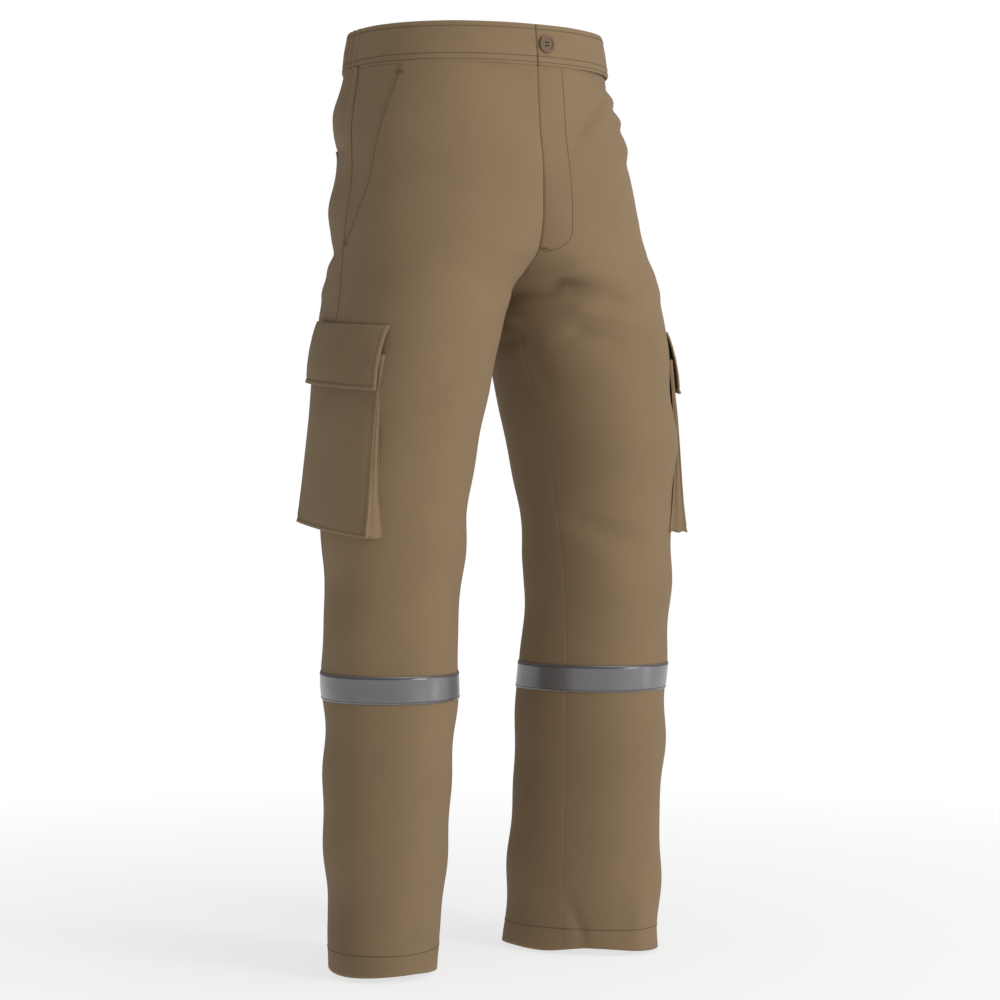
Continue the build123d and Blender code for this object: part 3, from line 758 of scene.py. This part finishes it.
def stitch(centre, normal, first):
    """One stitch as a small spindle of thread: its points, and its faces, whose numbers start at first."""
    forward = centre[-1] - centre[0]
    forward /= np.linalg.norm(forward)
    across = np.cross(normal, forward)
    points, faces = [], []
    for k, (_, size, lift) in enumerate(STITCH_SHAPE):
        for turn in np.arange(STITCH_SIDES) * 2 * math.pi / STITCH_SIDES:
            ring = math.cos(turn) * across[k] + (math.sin(turn) + lift) * normal[k]
            points.append(centre[k] + ring * STITCH_RADIUS * size)
    for a in range(first, first + len(points) - STITCH_SIDES, STITCH_SIDES):
        b = a + STITCH_SIDES
        for j in range(STITCH_SIDES):
            n = (j + 1) % STITCH_SIDES
            faces.append((a + j, a + n, b + n, b + j))
    faces.append(tuple(range(first, first + STITCH_SIDES))[::-1])
    faces.append(tuple(range(first + len(points) - STITCH_SIDES, first + len(points))))
    return points, faces


def stitch_row(name, paths, yarn=thread, blend=None):
    """Separate stitches along paths. A path is (points, normals)."""
    points, faces, uvs = [], [], []
    for path, normals in paths:
        steps = np.linalg.norm(np.diff(path, axis=0), axis=1)
        along = np.concatenate([[0], np.cumsum(steps)])
        for start in np.arange(0, along[-1] - STITCH_LENGTH, STITCH_PITCH):
            at = [start + STITCH_LENGTH * share for share, _, _ in STITCH_SHAPE]
            normal = spread(at, along, normals)
            normal /= np.linalg.norm(normal, axis=1, keepdims=True)
            more_points, more_faces = stitch(spread(at, along, path), normal, len(points))
            points += more_points
            faces += more_faces
            uvs += [(place, j * STITCH_RADIUS) for place in at for j in range(STITCH_SIDES)]
    piece = new_object(name, points, faces, np.array(uvs))
    piece.data.materials.append(yarn)
    if blend:
        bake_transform(piece)
    else:
        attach(piece, ROOT)


def column_path(grid, offset, last):
    """A line of points that keeps a fixed distance from a grid's first or last column, on the grid."""
    turn = slice(None, None, -1 if last else 1)
    rows, normals = grid[:, turn], grid_normals(grid)[:, turn]
    along = row_lengths(rows)
    points = [spread(offset, along[i], rows[i])[0] for i in range(len(rows))]
    outs = [spread(offset, along[i], normals[i])[0] for i in range(len(rows))]
    return np.array(points), np.array(outs)


def at_height(grid, values, height):
    """Values read off at the given height on each of a grid's columns."""
    return np.array([spread(height, grid[:, j, 2], values[:, j])[0] for j in range(grid.shape[1])])


def row_path(grid, height):
    """A level line on a grid at the given height."""
    return at_height(grid, grid, height), at_height(grid, grid_normals(grid), height)


def build_leg_stitches():
    hem_high = heights_of("hem_facing_left")[1] - 2 * MM
    band_low, band_high = heights_of("reflective_band_left")
    hem_grid = leg_ring(np.linspace(0, 50 * MM, 12))
    for side in SIDES:
        seam = column_path(draped_panel("front", side), EDGE_STITCH, last=side == "left")
        stitch_row(f"seam_stitches_{side}", [seam])
        stitch_row(f"hem_stitches_{side}", [row_path(laid(hem_grid, side), hem_high)])
        grid = tape_grid(side)
        edges = [row_path(grid, band_low + 2 * MM), row_path(grid, band_high - 2 * MM)]
        stitch_row(f"tape_stitches_{side}", edges)


# ---- Waistband ----
BAND_DEPTH = 3.6 * MM
BAND_CROWN = 0.4 * MM
BAND_OVERLAP = 1.6 * MM
BAND_FACE_ROWS = 12
BAND_STITCHES_UP, BAND_STITCHES_DOWN = (2.0 * MM, 8.5 * MM), 4.0 * MM
LAP_LIFT, LAP_SINK, LAP_FADE = 1.3 * MM, 0.2 * MM, 16 * MM
PUCKER_HEIGHT, PUCKER_START = 2.0 * MM, 12 * MM
FRONT_BAND_COLUMNS, BACK_BAND_COLUMNS = 90, 260


def band_profile(height):
    """The band's cross-section as (outwards, upwards), clockwise from the bottom of its outer face."""
    shares = np.linspace(0.03, 0.96, BAND_FACE_ROWS)
    outer = [(BAND_CROWN * math.sin(math.pi * t) ** 0.6, height * t) for t in shares]
    top = [(-0.5 * MM, height * 0.992), (-1.5 * MM, height), (-2.6 * MM, height * 0.990)]
    inner = [(-BAND_DEPTH, height * t) for t in np.linspace(0.95, 0.04, 8)]
    bottom = [(-2.4 * MM, 0.0), (-1.0 * MM, 0.0)]
    return outer + top + inner + bottom


def band_outline(node, turn_from, columns):
    """Two rings of a band piece's outer face, at its bottom and at its top."""
    rings = []
    for z in heights_of(node):
        centre = ring_centre([node], z)
        if turn_from:
            centre[1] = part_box(node)[1].y
        rings.append(outline(node, z, centre, turn_from, np.linspace(0, 1, columns)))
    return np.array(rings)


def ring_outward(ring):
    """Level unit vectors that point outwards from a ring of points."""
    out = np.cross(np.gradient(ring, axis=0), np.array([0, 0, 1.0]))
    return out / np.linalg.norm(out, axis=1, keepdims=True)


def band_mesh(name, rings, shape, node):
    """Sweeps the band's cross-section along its two rings. shape gives the extra outward move of each row."""
    low, high = rings
    height = float(high[0, 2] - low[0, 2]) + BAND_OVERLAP
    out = ring_outward(low)
    grid = []
    for outward, upward in band_profile(height):
        share = (upward - BAND_OVERLAP) / (height - BAND_OVERLAP)
        base = low + (high - low) * share
        grid.append(base + out * (outward + shape(base, share))[:, None])
    grid = np.array(grid)
    rows, columns = grid.shape[:2]
    last = (rows - 1) * columns
    faces = grid_faces(rows, columns)
    faces += [(j, last + j, last + j + 1, j + 1) for j in range(columns - 1)]
    faces.append(tuple(range(0, rows * columns, columns)))
    faces.append(tuple(range(columns - 1, rows * columns, columns))[::-1])
    piece = new_object(name, grid.reshape(-1, 3), faces, cloth_lengths(grid))
    settle(piece, twill_cloth, node)
    return grid, out


def front_lift(side):
    """The left end of the band laps over the right: one stands a little proud, the other is drawn in."""
    lift = LAP_LIFT if side == "left" else -LAP_SINK

    def shape(points, share):
        ripple = 0.35 * MM * np.sin(points[:, 0] * 95 + 4 * share)
        return lift * fading(np.abs(points[:, 0]), LAP_FADE) + ripple
    return shape


def elastic_puckers(points, share):
    """Gathers along the elasticated back of the band: broad ridges with finer ones between them."""
    around, arc = round_waist(points)
    drawn = 1 - fading(points[:, 1] - ELASTIC_FRONT_Y, PUCKER_START)
    ridge = np.sin(2 * math.pi * arc / (0.75 * GATHER_PITCH) + 1.2 * np.sin(around * 6) + 1.1 * share)
    fine = 0.4 * np.sin(2 * math.pi * arc / (0.41 * GATHER_PITCH) + 2.0 * share)
    return PUCKER_HEIGHT * drawn * (ridge * (0.9 - 0.5 * abs(2 * share - 1)) + fine)


def build_waistband():
    left = band_outline("waistband_outer_left", -math.pi, FRONT_BAND_COLUMNS)
    bands = []
    for side in SIDES:
        node = f"waistband_outer_{side}"
        bands.append(band_mesh(f"waistband_cloth_{side}", for_side(left, side), front_lift(side), node))
    back = band_outline("waistband_outer_back", 0, BACK_BAND_COLUMNS)
    bands.append(band_mesh("waistband_cloth_back", back, elastic_puckers, "waistband_outer_back"))
    paths = []
    for grid, out in bands:
        face = grid[:BAND_FACE_ROWS]
        heights = [face[0, 0, 2] + up for up in BAND_STITCHES_UP] + [face[-1, 0, 2] - BAND_STITCHES_DOWN]
        paths += [(at_height(face, face, height), out) for height in heights]
    stitch_row("waistband_stitches", paths)


# ---- Fly ----
def front_cloth(x, z, surface):
    """Point and normal of the left front's draped cloth, seen from straight ahead at x and z."""
    place, normal, _, _ = surface.ray_cast(Vector((x, -1, z)), Vector((0, 1, 0)))
    return np.array(place), np.array(normal) * (-1 if normal.y > 0 else 1)


def build_fly_stitches():
    """The J-shaped stitching on the left front: down beside the fly, then round to the centre seam."""
    low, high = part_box("fly_facing")
    bend, end = 24 * MM, 2 * MM
    line = [(high.x, z) for z in np.linspace(PANEL_TOP - end, low.z + bend, 60)]
    for turn in np.linspace(0, math.pi / 2, 16)[1:]:
        x = high.x - (high.x - end) * (1 - math.cos(turn))
        line.append((x, low.z + bend * (1 - math.sin(turn))))
    cloth = draped_panel("front", "left")
    surface = BVHTree.FromPolygons([Vector(p) for p in cloth.reshape(-1, 3)], grid_faces(*cloth.shape[:2]))
    points, normals = zip(*[front_cloth(x, z, surface) for x, z in line])
    stitch_row("fly_stitches", [(np.array(points), np.array(normals))])


# ---- Cargo pockets ----
PATCH_MARGIN = 0.3 * MM
POCKET_CLOTH, FLAP_CLOTH, SEAT_POCKET_CLOTH, SEAT_FLAP_CLOTH = 1.3 * MM, 2.2 * MM, 1.2 * MM, 2.0 * MM
GUSSET_ROWS, PLEAT_DEPTH, FOOT_SINK = 19, 1.3 * MM, 0.6 * MM


def sloped_patch(node, columns, rows):
    """The outside of a patch on the left leg's side, rows upwards and columns from its front to its back."""
    co = vertices(node)
    low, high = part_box(node)
    edges = []
    for y in (high.y, low.y):
        ends = co[np.abs(co[:, 1] - y) < SAME_PLACE]
        edges.append((ends[:, 2].min() + PATCH_MARGIN, ends[:, 2].max() - PATCH_MARGIN))
    (back_low, back_high), (front_low, front_high) = edges
    grid = np.zeros((rows, columns, 3))
    for j, t in enumerate(np.linspace(0, 1, columns)):
        y = high.y - PATCH_MARGIN + (low.y - high.y + 2 * PATCH_MARGIN) * t
        bottom = back_low + (front_low - back_low) * t
        top = back_high + (front_high - back_high) * t
        for i, z in enumerate(np.linspace(bottom, top, rows)):
            hit = first_hit([node], (1, y, z), (-1, 0, 0))
            grid[i, j] = (hit.x, y, z) if hit else grid[i - 1, j] + (0, 0, z - grid[i - 1, j, 2])
    return grid[:, ::-1]


def edge_distance(grid):
    """Distance of each grid point from the nearest side edge and from the bottom edge."""
    y, z = grid[..., 1], grid[..., 2]
    sides = np.minimum(np.abs(y - y[:, :1]), np.abs(y - y[:, -1:]))
    return sides, z - z[:1]


def patch_stitches(grid, inset):
    """A stitch line a fixed distance inside a patch's side edges and bottom edge."""
    u = inset / np.linalg.norm(grid[0, 0] - grid[0, -1])
    v = inset / np.linalg.norm(grid[-1, 0] - grid[0, 0])
    top = 0.985
    return sample_path(grid, [(u, top), (u, v), (1 - u, v), (1 - u, top)])


def sample_path(grid, corners):
    """Points and normals along straight runs between corners, which are shares across and up the grid."""
    normals = grid_normals(grid)
    points, outs = [], []
    for start, end in zip(corners, corners[1:]):
        for u, v in np.linspace(start, end, 60, endpoint=False):
            points.append(bilinear(grid, u, v))
            outs.append(bilinear(normals, u, v))
    return np.array(points), np.array(outs)


def bilinear(grid, u, v):
    rows, columns = grid.shape[:2]
    x, y = u * (columns - 1), v * (rows - 1)
    j, i = min(int(x), columns - 2), min(int(y), rows - 2)
    a, b = x - j, y - i
    return (
        grid[i, j] * (1 - a) * (1 - b) + grid[i, j + 1] * a * (1 - b)
        + grid[i + 1, j] * (1 - a) * b + grid[i + 1, j + 1] * a * b
    )


def pocket_face_grid():
    """The pocket's face: crowned, sagging a little, pinched along its stitches and flared at its corners."""
    grid = sloped_patch("cargo_pocket_face_left", 40, 48)
    sides, above = edge_distance(grid)
    puff = 1.6 * MM * (1 - fading(sides, 18 * MM)) * (1 - fading(above, 22 * MM))
    sag = 0.8 * MM * np.sin(grid[..., 1] * 60 + grid[..., 2] * 23)
    flare = 2.0 * MM * fading(above, 14 * MM) * fading(sides, 20 * MM)
    pinch = -1.0 * MM * (bell(sides, 3.5 * MM, 1.6 * MM) + bell(above, 3.5 * MM, 1.6 * MM))
    tape_low = heights_of("pocket_loop_tape_left")[0]
    free = np.clip((tape_low - 4 * MM - grid[..., 2]) / (30 * MM), 0, 1)
    return grid + grid_normals(grid) * ((puff + sag + flare) * free + pinch)[..., None]


def gusset_grid(face):
    """A strip from the face's edge to the leg, round its front, bottom and back, with an inward pleat."""
    edge = np.concatenate([face[:0:-1, 0], face[0], face[1:, -1]])
    low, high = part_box("cargo_pocket_face_left")
    inward = np.array([0, (low.y + high.y) / 2, (low.z + high.z) / 2]) - edge
    inward[:, 0] = 0
    inward /= np.linalg.norm(inward, axis=1, keepdims=True)
    feet = []
    for _, y, z in edge:
        hit = first_hit(list(PANELS.values()), (1, y, z), (-1, 0, 0))
        feet.append([hit.x - FOOT_SINK, y, z])
    rows = []
    for t in np.linspace(0, 1, GUSSET_ROWS):
        pleat = PLEAT_DEPTH * (math.sin(3 * math.pi * t) + math.sin(math.pi * t))
        rows.append(edge + (np.array(feet) - edge) * t + inward * pleat)
    return np.array(rows)


def flap_grid():
    """The pocket's flap: crowned, dented at its front corner, curled at its hem, pinched by its stitches."""
    grid = sloped_patch("cargo_flap_left", 44, 30)
    sides, above = edge_distance(grid)
    y = grid[..., 1]
    free = np.clip((grid[-1:, :, 2] - grid[..., 2]) / (30 * MM), 0, 1)
    puff = 1.2 * MM * (1 - fading(sides, 12 * MM))
    curl = 1.4 * MM * fading(above, 6 * MM)
    pinch = -0.8 * MM * bell(sides, 5 * MM, 1.8 * MM)
    hem_pinch = -0.8 * MM * bell(above, 5 * MM, 1.8 * MM)
    dent = -3.6 * MM * bell(y, -78 * MM, 16 * MM) * bell(above, 26 * MM, 18 * MM)
    swell = 1.6 * MM * bell(y, -20 * MM, 45 * MM) * bell(above, 30 * MM, 20 * MM)
    move = (puff + curl + pinch) * free + hem_pinch + dent + swell
    return grid + grid_normals(grid) * move[..., None]


def build_flap(kind, side, grid, thickness, bend, inset):
    """A pocket flap and its stitching, both fixed in place. The real flap is sewn down at its top edge and
    bends just below it.
    """
    body = f"{kind}_{side}"
    x, y, z = next(joint for joint in frame["joints"] if joint["child"] == body)["pos_m"]
    crossing = (ROOT, body, (x, y, z + 1 * MM), (x, y, z - bend))
    piece = sheet(f"{kind}_cloth_{side}", grid, thickness)
    piece.data.materials.append(twill_cloth)
    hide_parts(body)
    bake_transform(piece)
    stitch_row(f"{kind}_stitches_{side}", [patch_stitches(grid, inset)], tan_thread, crossing)


def build_cargo_pockets():
    left_face, left_flap = pocket_face_grid(), flap_grid()
    left_gusset = gusset_grid(left_face)
    for side in SIDES:
        face = for_side(left_face, side)
        gusset = for_side(left_gusset, side)
        sewn(f"cargo_pocket_cloth_{side}", face, POCKET_CLOTH, twill_cloth, f"cargo_pocket_face_{side}")
        sewn(f"cargo_gusset_cloth_{side}", gusset, CLOTH_THICKNESS, twill_cloth, f"cargo_gusset_{side}")
        stitch_row(f"cargo_pocket_stitches_{side}", [patch_stitches(face, EDGE_STITCH)], tan_thread)
        build_flap("cargo_flap", side, for_side(left_flap, side), FLAP_CLOTH, 13 * MM, 4 * MM)


# ---- Seat pockets ----
def seat_grid(node, columns, rows):
    """A patch on the seat, read from the frame as seen from behind, with its pointed lower edge."""
    co = vertices(node)
    low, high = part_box(node)
    middle = (low.x + high.x) / 2
    side_low = co[np.abs(co[:, 0] - low.x) < PATCH_MARGIN][:, 2].min()
    grid = np.zeros((rows, columns, 3))
    for j, x in enumerate(np.linspace(high.x - PATCH_MARGIN, low.x + PATCH_MARGIN, columns)):
        bottom = low.z + (side_low - low.z) * abs(x - middle) / (middle - low.x) + PATCH_MARGIN
        for i, z in enumerate(np.linspace(bottom, high.z - PATCH_MARGIN, rows)):
            grid[i, j] = (x, first_hit([node], (x, 1, z), (0, -1, 0)).y, z)
    return grid


def build_seat_pockets():
    pocket_grid = seat_grid("seat_pocket_left", 36, 44)
    flap = seat_grid("seat_flap_left", 36, 24)
    for side in SIDES:
        pocket = laid(pocket_grid, side)
        sewn(f"seat_pocket_cloth_{side}", pocket, SEAT_POCKET_CLOTH, twill_cloth, f"seat_pocket_{side}")
        rows = [patch_stitches(pocket, EDGE_STITCH), patch_stitches(pocket, 8 * MM)]
        stitch_row(f"seat_pocket_stitches_{side}", rows, tan_thread)
        build_flap("seat_flap", side, laid(flap, side), SEAT_FLAP_CLOTH, 11 * MM, EDGE_STITCH)


# ---- Inner layers ----
# Thin inner pieces that lie close behind the cloth follow its folds.
FOLLOWERS = {
    "bar_tacks": tan_thread, "fly_facing": inner_cloth, "hand_pocket_bag_left": pocketing,
    "hand_pocket_bag_right": pocketing, "care_label": label_cloth,
}


def build_followers():
    """The frame's own thin pieces, each point moved with the draped cloth in front of it."""
    for node, material in FOLLOWERS.items():
        points = vertices(node)
        outward = points * (1, 1, 0)
        outward /= np.linalg.norm(outward, axis=1, keepdims=True)
        faces = [tuple(p.vertices) for p in frame["nodes"][node].data.polygons]
        uvs = np.column_stack([points[:, 0] + points[:, 1], points[:, 2]])
        piece = new_object(f"{node}_draped", drape(points, outward), faces, uvs, smooth=False)
        settle(piece, material, node)


def build_gathered_layers():
    """The elastic and the facing behind the gathered back of the waistband, puckered with it."""
    layers = {"waistband_elastic": (elastic_rib, 1.6 * MM), "waistband_facing_back": (inner_cloth, 1.0 * MM)}
    for node, (material, thickness) in layers.items():
        low, high = band_outline(node, 0, BACK_BAND_COLUMNS)
        out = ring_outward(low)
        rows = []
        for share in np.linspace(0, 1, 9):
            base = low + (high - low) * share
            rows.append(base + out * elastic_puckers(base, share)[:, None])
        sewn(f"{node}_gathered", np.array(rows), thickness, material, node)


# ---- Carried-over CAD nodes ----
FINISHES = {
    "waistband_facing": inner_cloth, "waistband_underlap": twill_cloth, "waistband_interlining": interlining,
    "fly_shield": inner_cloth, "zip_tape": zip_cloth, "zip_teeth": brass, "zip_stops": brass,
    "zip_slider": brass, "zip_pull": brass, "waist_button": button_horn, "button_thread": thread,
    "flap_hook_tape": napped, "pocket_loop_tape": napped,
}


def flat_uvs(piece):
    """Gives a carried-over node a UV map in metres, from whichever two axes it faces least."""
    mesh = piece.data
    layer = mesh.uv_layers.new(name="cloth")
    for polygon in mesh.polygons:
        facing_x = abs(polygon.normal.x) > abs(polygon.normal.y)
        for k in polygon.loop_indices:
            co = mesh.vertices[mesh.loops[k].vertex_index].co
            layer.data[k].uv = (co.y if facing_x else co.x, co.z)


def finish_nodes():
    for name, node in frame["nodes"].items():
        if node.hide_render:
            continue
        node.data.materials.clear()
        node.data.materials.append(next(FINISHES[kind] for kind in FINISHES if name.startswith(kind)))
        flat_uvs(node)


# ---- Stage, light and camera ----
CAMERA_TURN = math.radians(-31.9)
CAMERA_DISTANCE, CAMERA_HEIGHT = 3.271, 0.590
CAMERA_LENS, SENSOR = 102.7, 36.0
CAMERA_SHIFT = (0.0235, -0.0616)
CAMERA_ASIDE = 6.5 * MM
AMBIENT = 0.27
MID_HEIGHT = 0.6
WHITE_FROM, WHITE_BEYOND = 0.3, 1.6     # distances over which the floor fades to plain white


def floor_paint():
    """White floor that fades into the white background away from the object."""
    material, nt, shader = material_nodes("floor_paint")
    noise = add(nt, "ShaderNodeTexNoise", Scale=3.0).outputs["Fac"]
    fill(nt, shader, {"Base Color": ramp(nt, noise, grey(0.86), grey(0.88)), "Roughness": 0.9})
    place = add(nt, "ShaderNodeNewGeometry").outputs["Position"]
    length = add(nt, "ShaderNodeVectorMath", operation="LENGTH")
    nt.links.new(place, length.inputs[0])
    fade = mapped(nt, length.outputs["Value"], reads=(WHITE_FROM, WHITE_BEYOND), gives=(0.72, 1))
    glow = add(nt, "ShaderNodeEmission", Color=(1, 1, 1, 1), Strength=1.0)
    mix = add(nt, "ShaderNodeMixShader", Fac=fade)
    nt.links.new(shader.outputs["BSDF"], mix.inputs[1])
    nt.links.new(glow.outputs["Emission"], mix.inputs[2])
    nt.links.new(mix.outputs["Shader"], nt.nodes["Material Output"].inputs["Surface"])
    return material


def build_stage():
    bpy.ops.mesh.primitive_plane_add(size=40, location=(0, 0, -2 * MM))
    floor = bpy.context.object
    floor.name = "floor"
    floor.data.materials.append(floor_paint())
    world = bpy.data.worlds.new("studio")
    world.use_nodes = True
    nt = world.node_tree
    seen = add(nt, "ShaderNodeLightPath").outputs["Is Camera Ray"]
    strength = mapped(nt, seen, gives=(AMBIENT, 1.0))
    fill(nt, nt.nodes["Background"], {"Color": (1, 1, 1, 1), "Strength": strength})
    bpy.context.scene.world = world


def area_light(name, place, size, power):
    """A soft lamp that faces the middle of the garment."""
    lamp = bpy.data.lights.new(name, "AREA")
    lamp.size = size
    lamp.energy = power
    holder = bpy.data.objects.new(name, lamp)
    holder.location = place
    holder.rotation_euler = (Vector((0, 0, MID_HEIGHT)) - Vector(place)).to_track_quat("-Z", "Y").to_euler()
    bpy.context.scene.collection.objects.link(holder)
    return lamp


def build_lights_and_camera():
    area_light("key", (1.3, -3.3, 1.7), 1.4, 74)
    strip = area_light("strip", (2.2, -1.6, 0.7), 0.35, 10)
    strip.shape = "RECTANGLE"
    strip.size_y = 1.8
    area_light("top", (0.2, -0.6, 3.2), 2.0, 24)
    camera = bpy.data.objects.new("camera", bpy.data.cameras.new("camera"))
    camera.data.lens = CAMERA_LENS
    camera.data.sensor_width = SENSOR
    camera.data.shift_x, camera.data.shift_y = CAMERA_SHIFT
    view = Vector((-math.sin(CAMERA_TURN), math.cos(CAMERA_TURN), 0))
    camera.location = -view * CAMERA_DISTANCE + Vector((0, CAMERA_ASIDE, CAMERA_HEIGHT))
    camera.rotation_euler = view.to_track_quat("-Z", "Y").to_euler()
    bpy.context.scene.collection.objects.link(camera)
    bpy.context.scene.camera = camera
    bpy.context.scene.view_settings.view_transform = "Standard"


build_panels()
build_hip_facings()
build_reflective_bands()
build_hem_facings()
build_leg_stitches()
build_waistband()
build_fly_stitches()
build_cargo_pockets()
build_seat_pockets()
build_followers()
build_gathered_layers()
finish_nodes()
build_stage()
build_lights_and_camera()
